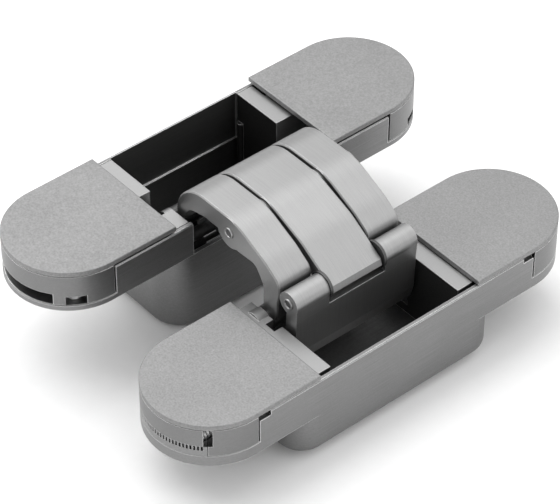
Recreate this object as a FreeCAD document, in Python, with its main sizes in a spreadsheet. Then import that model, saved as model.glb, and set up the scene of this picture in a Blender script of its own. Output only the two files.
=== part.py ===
"""Concealed invisible door hinge, opened to 180 degrees and resting on its two cups.

Frame: X across the hinge from the door side (negative) to the frame side (positive), Y along both
housings from the near wings to the far wings, Z up. The origin is on the resting plane, midway
between the housings. Sizes are in millimetres.
"""
import FreeCAD
import Part
import Sketcher
import math
import os
import re

SIZES = (
    ("body_width", 30.0, "width of a housing and of its caps"),
    ("body_length", 111.0, "length of a housing over its round wings"),
    ("body_gap", 18.4, "space between the housings when open"),
    ("door_depth", 33.0, "face to bottom of the door housing"),
    ("frame_depth", 22.6, "face to bottom of the frame housing"),
    ("frame_stand", 1.4, "bottom of the frame housing over the resting plane"),
    ("door_end_gap", 0.5, "from the door carrier's end to the end wall of its cup"),
    ("frame_end_gap", 5.4, "from the frame carrier's end to the end wall of its cup"),
    ("door_cup_corner", 7.6, "upright corner radius of the door cup"),
    ("frame_cup_corner", 6.5, "upright corner radius of the frame cup"),
    ("cup_bottom_edge", 2.5, "radius along the bottom of a cup"),
    ("wall", 1.0, "wall of cup and housing sides"),
    ("floor_wall", 1.5, "floor of the cup"),
    ("door_wing_height", 11.0, "face to underside of a door wing"),
    ("frame_wing_height", 11.7, "face to underside of a frame wing"),
    ("door_ledge", 1.5, "thickness of the door side's ledge under a wing"),
    ("frame_ledge", 3.0, "thickness of the frame side's ledge under a wing"),
    ("seam_set", 1.2, "centre of a round end back to the end of the housing's side walls"),
    ("door_wall_drop", 2.0, "face down to the top of the door side's walls"),
    ("frame_wall_drop", 1.5, "face down to the top of the frame side's walls"),
    ("rim_edge", 0.25, "bevel along the upper edges of walls and ledges"),
    ("seam_notch", 3.0, "length of the small notch in the frame's outer wall at the seam"),
    ("seam_notch_depth", 1.3, "depth of that notch"),
    ("door_recess_depth", 10.8, "face down to the door cut-out for the arms"),
    ("frame_recess_depth", 7.0, "face down to the frame cut-out for the arms"),
    ("door_recess_play", 0.7, "door cut-out beyond each side of the arms"),
    ("frame_recess_margin", 0.4, "end of the frame carrier beyond the frame cut-out"),
    ("arm_relief", 0.4, "hollow inside the door's outer wall for the folded arms"),
    ("arm_relief_play", 1.0, "that hollow beyond each side of the arms"),
    ("fixing_offset", 3.5, "fixing hole from the centre of the round end"),
    ("fixing_hole", 5.2, "diameter of a fixing hole"),
    ("fixing_sink", 9.4, "diameter over a fixing hole's countersink"),
    ("cap_thickness", 1.2, "cover plate"),
    ("cap_edge", 0.25, "rounding of a cap's upper edge"),
    ("peg", 2.4, "diameter of the clip pegs under a cap"),
    ("peg_length", 1.7, "length of the clip pegs"),
    ("peg_spacing", 14.0, "between the two pegs of a cap"),
    ("slide_fit", 0.15, "clearance of blocks between the side walls"),
    ("seam_gap", 0.45, "gap at the upright seam between block and side wall"),
    ("block_drop", 1.4, "face down to the top of a block"),
    ("block_start", 4.8, "inner end of a block from the end of the carrier"),
    ("block_step", 0.9, "inset of a block's top pad under the cap"),
    ("door_lift", 0.15, "height of the door blocks over their ledge"),
    ("end_slot", 3.1, "height of the curved slot under a door block"),
    ("foot_reach", 3.8, "foot of a door block from the housing's inner side"),
    ("foot", 1.9, "width of that foot"),
    ("screw_notch", 2.5, "height of the notch that shows the door screw"),
    ("tooth_pitch", 0.8, "pitch of the locking teeth"),
    ("tooth_depth", 0.55, "depth of the locking teeth"),
    ("tooth_height", 1.2, "height of the locking teeth"),
    ("tooth_plate", 2.7, "thickness of a toothed plate"),
    ("slit", 2.0, "gap in a frame block that shows the screw"),
    ("arms_side_play", 1.1, "clearance between the arms and an end block"),
    ("end_block", 4.3, "length of an end block"),
    ("door_carrier_gap", 0.2, "clearance between the door carrier and the side walls"),
    ("frame_carrier_gap", 1.0, "clearance between the frame carrier and the side walls"),
    ("carrier_floor", 1.0, "thickness of a carrier's floor"),
    ("carrier_float", 0.7, "clearance between carrier floor and cup floor"),
    ("corner_post", 0.95, "radius of the posts in the door bay's outer corners"),
    ("corner_post_drop", 9.8, "face down to the top of those posts"),
    ("door_slot", 8.0, "width of the open slot in a door end block"),
    ("frame_slot", 3.0, "width of the slot in the face of a frame end block"),
    ("frame_slot_depth", 2.2, "depth of that slot"),
    ("boss_radius", 3.0, "round boss over the frame's fixed pin"),
    ("door_pin_inset", 4.9, "door's fixed pin from the housing's inner side"),
    ("door_pin_drop", 10.5, "door's fixed pin below the door face"),
    ("frame_pin_inset", 5.8, "frame's fixed pin from the housing's inner side"),
    ("frame_pin_drop", 3.8, "frame's fixed pin below the frame face"),
    ("common_pin_x", 2.4, "crossing of the arms from the middle"),
    ("common_pin_rise", 2.9, "crossing of the arms above the door face"),
    ("outer_end_inset", 10.8, "outer arm's link pin from the door housing's inner side"),
    ("outer_end_drop", 9.5, "outer arm's link pin below the door face"),
    ("centre_end_inset", 13.0, "centre arm's link pin from the frame housing's inner side"),
    ("centre_end_rise", 5.1, "centre arm's link pin above the frame face"),
    ("door_link_inset", 8.75, "door link's lower pin from the housing's inner side"),
    ("door_link_drop", 17.7, "door link's lower pin below the door face"),
    ("frame_link_inset", 10.5, "frame link's lower pin from the housing's inner side"),
    ("frame_link_drop", 9.4, "frame link's lower pin below the frame face"),
    ("frame_eye_shift", 0.4, "frame link's lower eye beside its pin at rest"),
    ("frame_eye_rise", 0.2, "frame link's lower eye above its pin at rest"),
    ("fixed_pin", 1.5, "radius of the fixed pins"),
    ("arm_pin", 1.25, "radius of the pins in the outer arm"),
    ("link_pin", 1.0, "radius of the frame link's pins and the lower pins"),
    ("bore_fit", 0.05, "radial clearance of a turning pin"),
    ("door_link_float", 2.25, "radial clearance of the door link's lower eye"),
    ("frame_link_float", 1.28, "radial clearance of the frame link's lower eye"),
    ("boss_margin", 1.6, "end of the carrier beyond that boss"),
    ("centre_eye", 3.1, "radius of the centre arm's eye in the door cup"),
    ("outer_eye", 2.9, "radius of the outer arm's eyes"),
    ("crossing_boss", 4.0, "radius of the arms' boss at their crossing"),
    ("knuckle", 2.9, "radius of the frame link's knuckles"),
    ("link_eye", 2.8, "radius of the door link's upper eyes"),
    ("eye_rim", 0.95, "wall round the oversize lower eyes"),
    ("arms_width", 34.4, "width over both cheeks of the outer arm"),
    ("centre_width", 14.6, "width of the centre arm"),
    ("washer", 0.7, "space filled by a thin washer"),
    ("washer_radius", 3.3, "radius of the thin washers"),
    ("fork_wall", 2.1, "wall on each side of the fork in a cheek's hidden end"),
    ("outline_unit", 1.0, "unit of the arms' and links' outlines"),
    ("crease", 14.0, "rounding of the arms' creases"),
    ("shoulder", 9.7, "radius of the arms' shoulder over the door side"),
    ("arm_edge", 0.3, "bevel along the arms"),
    ("door_screw_inset", 5.8, "door adjusting screw from the housing's inner side"),
    ("door_screw_offset", 6.2, "door adjusting screw from the centre of the round end"),
    ("door_screw", 2.0, "radius of a door adjusting screw"),
    ("frame_screw_inset", 22.5, "frame adjusting screw from the housing's inner side"),
    ("frame_screw_drop", 5.2, "frame adjusting screw below the face"),
    ("frame_screw", 2.1, "radius of a frame adjusting screw"),
    ("screw_wall", 0.9, "wall of the frame carrier behind the screw's blind bore"),
    ("frame_screw_start", 1.5, "inner end of that screw from the end of the carrier"),
    ("frame_screw_end", 4.6, "outer end of that screw from the end of the housing"),
)

doc = FreeCAD.newDocument("hinge")
sheet = doc.addObject("Spreadsheet::Sheet", "Sizes")
for row, (alias, value, meaning) in enumerate(SIZES, start=1):
    sheet.set(f"A{row}", alias)
    sheet.set(f"B{row}", str(value))
    sheet.set(f"C{row}", meaning)
    sheet.setAlias(f"B{row}", alias)
doc.recompute()

ALIAS = re.compile(r"\b(" + "|".join(sorted((s[0] for s in SIZES), key=len, reverse=True)) + r")\b")
PIECES = []

# Ends of the housings and where things stand, as expressions of the sizes
DOOR_SIDE = "(-body_gap / 2)"
FRAME_SIDE = "(body_gap / 2)"
WING_CENTRE = "(body_length / 2 - body_width / 2)"
SEAM = f"({WING_CENTRE} - seam_set)"
BAY = "(arms_width + 2 * arms_side_play)"
CARRIER = f"({BAY} + 2 * end_block)"
TONGUE = f"({CARRIER} / 2 + block_start)"
FRAME_FACE = "(frame_depth + frame_stand)"
CHEEK_START = "(centre_width / 2 + washer)"
FORK_START = f"({CHEEK_START} + fork_wall)"
FORK_END = "(arms_width / 2 - fork_wall)"
FIXING = f"({WING_CENTRE} + fixing_offset)"
DOOR_SCREW_Y = f"({WING_CENTRE} + door_screw_offset)"
SCREW_START = f"({CARRIER} / 2 - frame_screw_start)"
SCREW_END = "(body_length / 2 - frame_screw_end)"
SIDES = {
    "door": dict(depth="door_depth", face="door_depth", recess="door_recess_depth", wing="door_wing_height",
                 ledge_top="(door_ledge - door_wing_height)", drop="door_wall_drop", gap="door_carrier_gap",
                 cavity=f"({CARRIER} / 2 + door_end_gap)", corner="door_cup_corner",
                 recess_length="(arms_width + 2 * door_recess_play)"),
    "frame": dict(depth="frame_depth", face=FRAME_FACE, recess="frame_recess_depth", wing="frame_wing_height",
                  ledge_top="(frame_ledge - frame_wing_height)", drop="frame_wall_drop", gap="frame_carrier_gap",
                  cavity=f"({CARRIER} / 2 + frame_end_gap)", corner="frame_cup_corner",
                  recess_length=f"({CARRIER} - 2 * frame_recess_margin)"),
}
SLIT_ANGLE = 41.0
DOOR_PIN = (f"({DOOR_SIDE} - door_pin_inset)", "(door_depth - door_pin_drop)")
FRAME_PIN = (f"({FRAME_SIDE} + frame_pin_inset)", f"({FRAME_FACE} - frame_pin_drop)")
COMMON_PIN = ("common_pin_x", "(door_depth + common_pin_rise)")
OUTER_END = (f"({DOOR_SIDE} - outer_end_inset)", "(door_depth - outer_end_drop)")
CENTRE_END = (f"({FRAME_SIDE} + centre_end_inset)", f"({FRAME_FACE} + centre_end_rise)")
DOOR_LINK_PIN = (f"({DOOR_SIDE} - door_link_inset)", "(door_depth - door_link_drop)")
FRAME_LINK_PIN = (f"({FRAME_SIDE} + frame_link_inset)", f"({FRAME_FACE} - frame_link_drop)")
LEG = f"({COMMON_PIN[1]} - {FRAME_PIN[1]})"


def bound(text):
    """The expression with each size read from the sheet."""
    return ALIAS.sub(r"Sizes.\1", str(text))


def number(text):
    """The expression's value now."""
    return float(sheet.evalExpression(bound(text)))


def new_body(label):
    """An empty body that becomes one piece of the hinge."""
    body = doc.addObject("PartDesign::Body", label)
    body.Label = label
    PIECES.append(body)
    return body


def plane_of(body, role):
    """One of the body's own origin planes."""
    return next(feature for feature in body.Origin.OriginFeatures if feature.Role == role)


def new_sketch(body, plane, shift="0"):
    """A sketch on an origin plane, moved along the plane's normal."""
    sketch = body.newObject("Sketcher::SketchObject", body.Label + "_sketch")
    sketch.AttachmentSupport = [(plane_of(body, plane), "")]
    sketch.MapMode = "FlatFace"
    sketch.setExpression("AttachmentOffset.Base.z", bound(shift))
    return sketch


def tie(sketch, geometry, point, x, y):
    """Ties a point of the sketch to two expressions."""
    for kind, text in (("DistanceX", x), ("DistanceY", y)):
        index = sketch.addConstraint(Sketcher.Constraint(kind, geometry, point, number(text)))
        sketch.setExpression(f"Constraints[{index}]", bound(text))


def polygon(sketch, points):
    """A closed outline of straight lines, each corner tied to its expressions."""
    corners = [FreeCAD.Vector(number(x), number(y), 0) for x, y in points]
    first = sketch.GeometryCount
    count = len(points)
    for i in range(count):
        sketch.addGeometry(Part.LineSegment(corners[i], corners[(i + 1) % count]), False)
    for i in range(count):
        nxt = first + (i + 1) % count
        sketch.addConstraint(Sketcher.Constraint("Coincident", first + i, 2, nxt, 1))
        tie(sketch, first + i, 1, *points[i])


def circle(sketch, x, y, radius):
    """A circle with its centre and radius tied to expressions."""
    centre = FreeCAD.Vector(number(x), number(y), 0)
    index = sketch.addGeometry(Part.Circle(centre, FreeCAD.Vector(0, 0, 1), number(radius)), False)
    tie(sketch, index, 3, x, y)
    size = sketch.addConstraint(Sketcher.Constraint("Radius", index, number(radius)))
    sketch.setExpression(f"Constraints[{size}]", bound(radius))


def round_ended(sketch, start, end_centre, low, high):
    """An outline that runs from a straight end at start to a half circle round end_centre, along Y."""
    way = 1 if number(end_centre) > number(start) else -1
    left, right = number(low), number(high)
    y0, y1 = number(start), number(end_centre)
    radius = (right - left) / 2
    first = sketch.GeometryCount
    corners = [FreeCAD.Vector(x, y, 0) for x, y in ((left, y1), (left, y0), (right, y0), (right, y1))]
    for a, b in zip(corners, corners[1:]):
        sketch.addGeometry(Part.LineSegment(a, b), False)
    middle = FreeCAD.Vector((left + right) / 2, y1, 0)
    ring = Part.Circle(middle, FreeCAD.Vector(0, 0, 1), radius)
    span = (0, math.pi) if way > 0 else (math.pi, 2 * math.pi)
    sketch.addGeometry(Part.ArcOfCircle(ring, *span), False)
    arc = first + 3
    right_point, left_point = (1, 2) if way > 0 else (2, 1)
    joins = ((first, 2, first + 1, 1), (first + 1, 2, first + 2, 1), (first + 2, 2, arc, right_point),
             (first, 1, arc, left_point))
    for a, pa, b, pb in joins:
        sketch.addConstraint(Sketcher.Constraint("Coincident", a, pa, b, pb))
    tie(sketch, first, 1, low, end_centre)
    tie(sketch, first, 2, low, start)
    tie(sketch, first + 1, 2, high, start)
    tie(sketch, first + 2, 2, high, end_centre)
    index = sketch.addConstraint(Sketcher.Constraint("DistanceY", arc, 3, y1))
    sketch.setExpression(f"Constraints[{index}]", bound(end_centre))


def grow(body, sketch, length, kind="One side"):
    """Adds the sketch's section to the body over a length along the plane's normal."""
    pad = body.newObject("PartDesign::Pad", body.Label + "_pad")
    pad.Profile = sketch
    pad.SideType = kind
    pad.setExpression("Length", bound(length))
    sketch.Visibility = False
    doc.recompute()
    return pad


def cut(body, sketch, length, kind="One side", back=False):
    """Takes the sketch's section out of the body; back turns it towards the plane's normal."""
    pocket = body.newObject("PartDesign::Pocket", body.Label + "_pocket")
    pocket.Profile = sketch
    pocket.SideType = kind
    pocket.Reversed = back
    pocket.setExpression("Length", bound(length))
    sketch.Visibility = False
    doc.recompute()
    return pocket


def box_section(body, low, high, bottom, top, length_start, length_end, add=True):
    """Adds or cuts a block: low to high in X, length_start to length_end in Y, bottom to top in Z."""
    sketch = new_sketch(body, "XY_Plane", bottom)
    polygon(sketch, [(low, length_start), (high, length_start), (high, length_end), (low, length_end)])
    height = f"({top}) - ({bottom})"
    if add:
        return grow(body, sketch, height)
    return cut(body, sketch, height, back=True)


def round_hole(body, x, y, radius, bottom, top):
    """Cuts an upright round hole."""
    sketch = new_sketch(body, "XY_Plane", bottom)
    circle(sketch, x, y, radius)
    return cut(body, sketch, f"({top}) - ({bottom})", back=True)


def cross_bore(body, pin, radius, width="4 * arms_width"):
    """Cuts a round bore along Y, centred on the hinge's middle."""
    sketch = new_sketch(body, "XZ_Plane")
    circle(sketch, pin[0], pin[1], radius)
    return cut(body, sketch, width, kind="Symmetric")


def edges(body, test):
    """Names of the body's edges that pass the test."""
    return [f"Edge{i}" for i, edge in enumerate(body.Shape.Edges, start=1) if test(edge)]


def dress(body, kind, names, size, key):
    """Rounds or chamfers the named edges of the body."""
    under = body.Tip
    feature = body.newObject("PartDesign::" + kind, body.Label + "_" + kind.lower())
    feature.Base = (under, names)
    feature.setExpression(key, bound(size))
    under.Visibility = False
    doc.recompute()
    return feature


def along(edge, axis):
    """Whether the edge is straight and parallel to the axis."""
    if not isinstance(edge.Curve, Part.Line):
        return False
    return abs(abs(edge.Curve.Direction[axis]) - 1) < 1e-6


def upright_at(points):
    """Test for upright edges that stand at one of the points (x, y)."""
    places = [(number(x), number(y)) for x, y in points]

    def test(edge):
        if not along(edge, 2):
            return False
        middle = edge.CenterOfMass
        return any(math.hypot(middle.x - x, middle.y - y) < 0.01 for x, y in places)
    return test


def crosswise_at(points):
    """Test for edges along Y that stand at one of the points (x, z)."""
    places = [(number(x), number(z)) for x, z in points]

    def test(edge):
        if not along(edge, 1):
            return False
        middle = edge.CenterOfMass
        return any(math.hypot(middle.x - x, middle.z - z) < 0.01 for x, z in places)
    return test


def stand(body, side):
    """Places a piece that is drawn from its housing's inner side and face, X pointing outwards."""
    if side == "door":
        body.Placement = FreeCAD.Placement(FreeCAD.Vector(), FreeCAD.Rotation(FreeCAD.Vector(0, 0, 1), 180))
        body.setExpression("Placement.Base.x", bound(DOOR_SIDE))
    else:
        body.setExpression("Placement.Base.x", bound(FRAME_SIDE))
    body.setExpression("Placement.Base.z", bound(SIDES[side]["face"]))


def inner_corner(side):
    """Slant across an inner corner of a cup, which leaves a wall's thickness inside the round corner."""
    return f"(0.59 * {SIDES[side]['corner']} - wall / 2)"


def end_sign(side, end):
    """Sign of Y, in the housing's own drawing, of the near or far wing."""
    near = 1 if side == "door" else -1
    return near if end == "near" else -near


def housing(side):
    """Cast housing: cup with rounded corners, two wings with a thin ledge, cut-out for the arms."""
    keys = ("depth", "recess", "recess_length", "ledge_top", "drop", "wing", "cavity", "corner")
    depth, recess, recess_length, ledge_top, drop, wing, cavity, corner = (SIDES[side][key] for key in keys)
    body = new_body(side + "_housing")
    half_cup = f"({cavity} + wall)"
    box_section(body, "0", "body_width", f"-{depth}", f"-{wing}", f"-{half_cup}", half_cup)
    corners = [(x, y) for x in ("0", "body_width") for y in (f"-{half_cup}", half_cup)]
    dress(body, "Fillet", edges(body, upright_at(corners)), corner, "Radius")
    floor_z = -number(depth)
    bottom = edges(body, lambda e: all(abs(v.Z - floor_z) < 0.01 for v in e.Vertexes))
    dress(body, "Fillet", bottom, "cup_bottom_edge", "Radius")
    for sign in ("-", ""):
        ledge = new_sketch(body, "XY_Plane", f"-{wing}")
        round_ended(ledge, "0", f"{sign}{WING_CENTRE}", "0", "body_width")
        grow(body, ledge, f"{wing} + {ledge_top}")
    top_z, seam = number(ledge_top), number(WING_CENTRE)
    rim = edges(body, lambda e: all(abs(v.Z - top_z) < 0.01 and abs(v.Y) > seam - 0.01 for v in e.Vertexes))
    dress(body, "Chamfer", rim, "rim_edge", "Size")
    box_section(body, "0", "body_width", f"-{wing}", f"-{drop}", f"-{SEAM}", SEAM)
    box_section(body, "wall", "body_width - wall", ledge_top, "1", f"-{SEAM} - wall", f"{SEAM} + wall", add=False)
    upper = edges(body, crosswise_at([("0", f"-{drop}"), ("body_width", f"-{drop}")]))
    dress(body, "Chamfer", upper, "rim_edge", "Size")
    inside = new_sketch(body, "XY_Plane", f"floor_wall - {depth}")
    polygon(inside, slanted_box("wall", "body_width - wall", cavity, inner_corner(side)))
    cut(body, inside, f"{depth} - floor_wall", back=True)
    box_section(body, "-wall", "wall", f"-{recess}", "1", f"-{recess_length} / 2", f"{recess_length} / 2", add=False)
    if side == "door":
        reach = "(arms_width / 2 + arm_relief_play)"
        box_section(body, "body_width / 2", "body_width - wall + arm_relief", "-body_width / 2", "1",
                    f"-{reach}", reach, add=False)
    else:
        for low, high in ((f"-{SEAM} - 1", f"-{SEAM} + seam_notch"), (f"{SEAM} - seam_notch", f"{SEAM} + 1")):
            box_section(body, "body_width - 2 * wall", "body_width + 1", f"-{drop} - seam_notch_depth", "1",
                        low, high, add=False)
    for sign in ("-", ""):
        round_hole(body, "body_width / 2", f"{sign}{FIXING}", "fixing_hole / 2", f"-{wing}", "0")
        if side == "door":
            place = ("door_screw_inset", f"{sign}{DOOR_SCREW_Y}")
            round_hole(body, *place, "door_screw / 2 + bore_fit", f"-{wing}", "0")
    sunk, radius = number(ledge_top), number("fixing_hole / 2")
    mouth = edges(body, lambda e: is_circle(e, radius) and abs(e.Curve.Center.z - sunk) < 0.01)
    dress(body, "Chamfer", mouth, f"min((fixing_sink - fixing_hole) / 2 - 0.3; 0.8 * {side}_ledge)", "Size")
    stand(body, side)
    return body


def slanted_box(low, high, half, corner):
    """Outline of a box about the X axis with slanted corners."""
    return [(f"{low} + {corner}", f"-{half}"), (f"{high} - {corner}", f"-{half}"),
            (high, f"-{half} + {corner}"), (high, f"{half} - {corner}"),
            (f"{high} - {corner}", half), (f"{low} + {corner}", half),
            (low, f"{half} - {corner}"), (low, f"-{half} + {corner}")]


def is_circle(edge, radius):
    """Whether the edge is a circle of the radius."""
    return isinstance(edge.Curve, Part.Circle) and abs(edge.Curve.Radius - radius) < 0.001


def carrier(side):
    """Cast carrier: two end blocks on a thin floor, with bores for the pins and slots beside the arms."""
    depth, ledge_top, drop, gap = (SIDES[side][key] for key in ("depth", "ledge_top", "drop", "gap"))
    body = new_body(side + "_carrier")
    low, high = f"wall + {gap}", f"body_width - wall - {gap}"
    bottom = f"(floor_wall + carrier_float - {depth})"
    half, bay = f"({CARRIER} / 2)", f"({BAY} / 2)"
    reach = high if side == "door" else "body_width * 0.6"
    box_section(body, low, reach, bottom, f"{bottom} + carrier_floor", f"-{half}", half)
    if side == "door":
        box_section(body, "body_width * 0.3", "body_width * 0.8", bottom, f"{bottom} + carrier_floor",
                    f"-{bay} + 1", f"{bay} - 1", add=False)
    for start, end in ((bay, half), (f"-{half}", f"-{bay}")):
        box_section(body, low, high, bottom, f"-{drop}", start, end)
        if side == "door":
            neck = sorted((half, TONGUE) if end == half else (f"-{half}", f"-{TONGUE}"), key=number)
            box_section(body, "body_width * 0.2", "body_width * 0.8", f"{ledge_top} + 0.9", f"-{drop}", *neck)
    if side == "frame":
        boss = new_sketch(body, "XZ_Plane")
        circle(boss, "frame_pin_inset", "-frame_pin_drop", "boss_radius")
        grow(body, boss, f"{CARRIER} - 2 * boss_margin", kind="Symmetric")
        box_section(body, "-body_width", "body_width", f"{bottom} + carrier_floor", "boss_radius",
                    f"-{bay}", bay, add=False)
    if side == "door":
        posts = new_sketch(body, "XY_Plane", bottom)
        for sign in ("-", ""):
            circle(posts, f"{high} - corner_post - 0.2", f"{sign}{bay}", "corner_post")
        grow(body, posts, f"-corner_post_drop - {bottom}")
        box_section(body, "door_link_inset + 2.05 - door_slot / 2", "door_link_inset + 2.05 + door_slot / 2",
                    "-door_link_drop + link_pin + 1.2", "1", "-body_length", "body_length", add=False)
    else:
        box_section(body, "frame_link_inset - 1.3", "frame_link_inset - 1.3 + frame_slot",
                    "-frame_link_drop - 7.6", "1", f"-{bay} - frame_slot_depth", f"{bay} + frame_slot_depth",
                    add=False)
        for sign in ("-", ""):
            screw = new_sketch(body, "XZ_Plane", f"{sign}({bay} + screw_wall)")
            circle(screw, "frame_screw_inset", "-frame_screw_drop", "frame_screw + bore_fit")
            cut(body, screw, "body_length", back=not sign)
    if side == "door":
        corners = new_sketch(body, "XY_Plane", bottom)
        slant = inner_corner(side)
        for x, inward in ((low, slant), (high, f"-{slant}")):
            for sign in ("-", ""):
                polygon(corners, [(x, f"{sign}{half}"), (f"{x} + {inward}", f"{sign}{half}"),
                                  (x, f"{sign}({half} - {slant})")])
        cut(body, corners, f"{ledge_top} + 2 * slide_fit - {bottom}", back=True)
    cross_bore(body, (f"{side}_pin_inset", f"-{side}_pin_drop"), "fixed_pin")
    cross_bore(body, (f"{side}_link_inset", f"-{side}_link_drop"), "link_pin")
    stand(body, side)
    return body


def cap(side, end):
    """Thin cover plate with a round end and two clip pegs under it."""
    sign = "" if end_sign(side, end) > 0 else "-"
    body = new_body(f"{side}_cap_{end}")
    plate = new_sketch(body, "XY_Plane", "-cap_thickness")
    round_ended(plate, f"{sign}({CARRIER} / 2)", f"{sign}{WING_CENTRE}", "0", "body_width")
    grow(body, plate, "cap_thickness")
    upper = edges(body, lambda e: all(abs(v.Z) < 0.001 for v in e.Vertexes))
    dress(body, "Fillet", upper, "cap_edge", "Radius")
    pegs = new_sketch(body, "XY_Plane", "-cap_thickness - peg_length")
    for way in ("-", "+"):
        circle(pegs, f"body_width / 2 {way} peg_spacing / 2", f"{sign}{WING_CENTRE}", "peg / 2")
    grow(body, pegs, "peg_length")
    stand(body, side)
    return body


def round_end_point(sign, degrees, reach):
    """A point at a distance and angle from a round end's centre; the angle counts from the side at +X."""
    angle = math.radians(degrees)
    flip = -1 if sign == "-" else 1
    return (f"body_width / 2 + {math.cos(angle):.5f} * ({reach})",
            f"{sign}{WING_CENTRE} + {flip * math.sin(angle):.5f} * ({reach})")


def block(side, end):
    """Block that fills a wing between the ledge and the cap, flush with the round end."""
    sign = "" if end_sign(side, end) > 0 else "-"
    ledge_top, wing = SIDES[side]["ledge_top"], SIDES[side]["wing"]
    rest = f"({ledge_top} + door_lift)" if side == "door" else ledge_top
    body = new_body(f"{side}_block_{end}")
    shell = new_sketch(body, "XY_Plane", rest)
    round_ended(shell, f"{sign}({SEAM} + seam_gap)", f"{sign}{WING_CENTRE}", "0", "body_width")
    grow(body, shell, f"-block_drop - {rest}")
    tongue = sorted((f"{sign}{TONGUE}", f"{sign}{WING_CENTRE}"), key=number)
    box_section(body, "wall + slide_fit", "body_width - wall - slide_fit", rest, "-block_drop", *tongue)
    pad = new_sketch(body, "XY_Plane", "-block_drop")
    round_ended(pad, f"{sign}{TONGUE}", f"{sign}{WING_CENTRE}", "wall + block_step", "body_width - wall - block_step")
    grow(body, pad, "block_drop - cap_thickness")
    if side == "door":
        low, high = sorted((f"{sign}({WING_CENTRE} + body_width / 8)", f"{sign}(body_length / 2 + 1)"), key=number)
        box_section(body, "foot_reach + foot", "body_width + 1", f"-{wing}", f"{ledge_top} + end_slot", low, high,
                    add=False)
        notch = new_sketch(body, "XY_Plane", f"-{wing}")
        polygon(notch, [round_end_point(sign, *place) for place in (
            (139, "body_width * 0.3"), (139, "body_width * 0.6"), (157, "body_width * 0.6"),
            (157, "body_width * 0.3"))])
        cut(body, notch, f"{wing} + {ledge_top} + screw_notch", back=True)
    else:
        under = new_sketch(body, "XY_Plane", f"-{wing}")
        polygon(under, teeth_side(sign))
        cut(body, under, f"{wing} + {ledge_top} + tooth_plate", back=True)
    for way in ("-", "+"):
        round_hole(body, f"body_width / 2 {way} peg_spacing / 2", f"{sign}{WING_CENTRE}", "peg / 2",
                   "-cap_thickness - peg_length", "0")
    round_hole(body, "body_width / 2", f"{sign}{FIXING}", "fixing_sink / 2", f"-{wing}", "0")
    if side == "door":
        round_hole(body, "door_screw_inset", f"{sign}{DOOR_SCREW_Y}", "door_screw + bore_fit", f"-{wing}", "0")
    else:
        screw = new_sketch(body, "XZ_Plane")
        circle(screw, "frame_screw_inset", "-frame_screw_drop", "frame_screw + bore_fit")
        cut(body, screw, f"2 * {SCREW_END} + 0.8", kind="Symmetric")
        slit = new_sketch(body, "XY_Plane", f"{ledge_top} + tooth_plate")
        turn = math.radians(SLIT_ANGLE)
        flip = -1 if sign == "-" else 1
        corners = []
        for reach, step in (("body_width * 0.28", -0.5), ("body_width * 0.55", -0.5), ("body_width * 0.55", 0.5),
                            ("body_width * 0.28", 0.5)):
            x = f"body_width / 2 + {math.cos(turn):.5f} * {reach} - {math.sin(turn) * step:.5f} * slit"
            y = (f"{sign}{WING_CENTRE} + {flip * math.sin(turn):.5f} * {reach} "
                 f"+ {flip * math.cos(turn) * step:.5f} * slit")
            corners.append((x, y))
        polygon(slit, corners)
        cut(body, slit, f"-block_drop - {ledge_top} - tooth_plate", back=True)
    stand(body, side)
    return body


def teeth_side(sign):
    """Outline of the part of a frame wing that the toothed plate takes, up to the slit."""
    end = round_end_point(sign, SLIT_ANGLE, "body_width * 2")
    inner = f"{sign}({SEAM} - wall)"
    return [("body_width / 2", inner), ("body_width / 2", f"{sign}{WING_CENTRE}"), end,
            ("-body_width", end[1]), ("-body_width", inner)]


def toothed_plate(end):
    """Thin plate on the frame's ledge with locking teeth round its end, up to the slit."""
    sign = "" if end_sign("frame", end) > 0 else "-"
    ledge_top = SIDES["frame"]["ledge_top"]
    body = new_body("frame_teeth_" + end)
    plate = new_sketch(body, "XY_Plane", ledge_top)
    round_ended(plate, f"{sign}({SEAM} + seam_gap)", f"{sign}{WING_CENTRE}", "0", "body_width")
    grow(body, plate, "tooth_plate")
    rest = new_sketch(body, "XY_Plane", ledge_top)
    far = "body_width * 2"
    corner = round_end_point(sign, SLIT_ANGLE, far)
    polygon(rest, [("body_width / 2 - slide_fit", f"{sign}({SEAM} - wall)"),
                   ("body_width / 2 - slide_fit", f"{sign}({WING_CENTRE} + slide_fit)"), corner,
                   (f"{corner[0]} + body_width", corner[1]), (f"{corner[0]} + body_width", f"{sign}({SEAM} - wall)")])
    cut(body, rest, "tooth_plate", back=True)
    round_hole(body, "body_width / 2", f"{sign}{FIXING}", "fixing_sink / 2", "-frame_wing_height", "0")
    groove = new_sketch(body, "XZ_Plane")
    circle(groove, "frame_screw_inset", "-frame_screw_drop", "frame_screw + bore_fit")
    cut(body, groove, f"2 * {SCREW_END} + 0.8", kind="Symmetric")
    notch = new_sketch(body, "XY_Plane", f"{ledge_top} + tooth_plate - tooth_height")
    notch.setExpression("AttachmentOffset.Base.x", bound("body_width / 2"))
    notch.setExpression("AttachmentOffset.Base.y", bound(f"{sign}{WING_CENTRE}"))
    first = 46.0 if end == "far" else -176.0
    span = 130.0
    corners = []
    for side_step, reach in ((-0.6, "body_width / 2 + tooth_depth"), (0.6, "body_width / 2 + tooth_depth"),
                             (0.0, "body_width / 2 - tooth_depth")):
        angle = math.radians(first)
        across = f"{side_step} * tooth_pitch"
        corners.append((f"{math.cos(angle):.5f} * ({reach}) - {math.sin(angle):.5f} * {across}",
                        f"{math.sin(angle):.5f} * ({reach}) + {math.cos(angle):.5f} * {across}"))
    polygon(notch, corners)
    pocket = cut(body, notch, "tooth_height", back=True)
    pattern = body.newObject("PartDesign::PolarPattern", body.Label + "_pattern")
    pattern.Originals = [pocket]
    pattern.Axis = (notch, ["N_Axis"])
    pattern.Angle = span
    pattern.Occurrences = int(math.radians(span) * number("body_width / 2") / number("tooth_pitch")) + 1
    pattern.Visibility = True
    body.Tip = pattern
    doc.recompute()
    stand(body, "frame")
    return body


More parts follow.
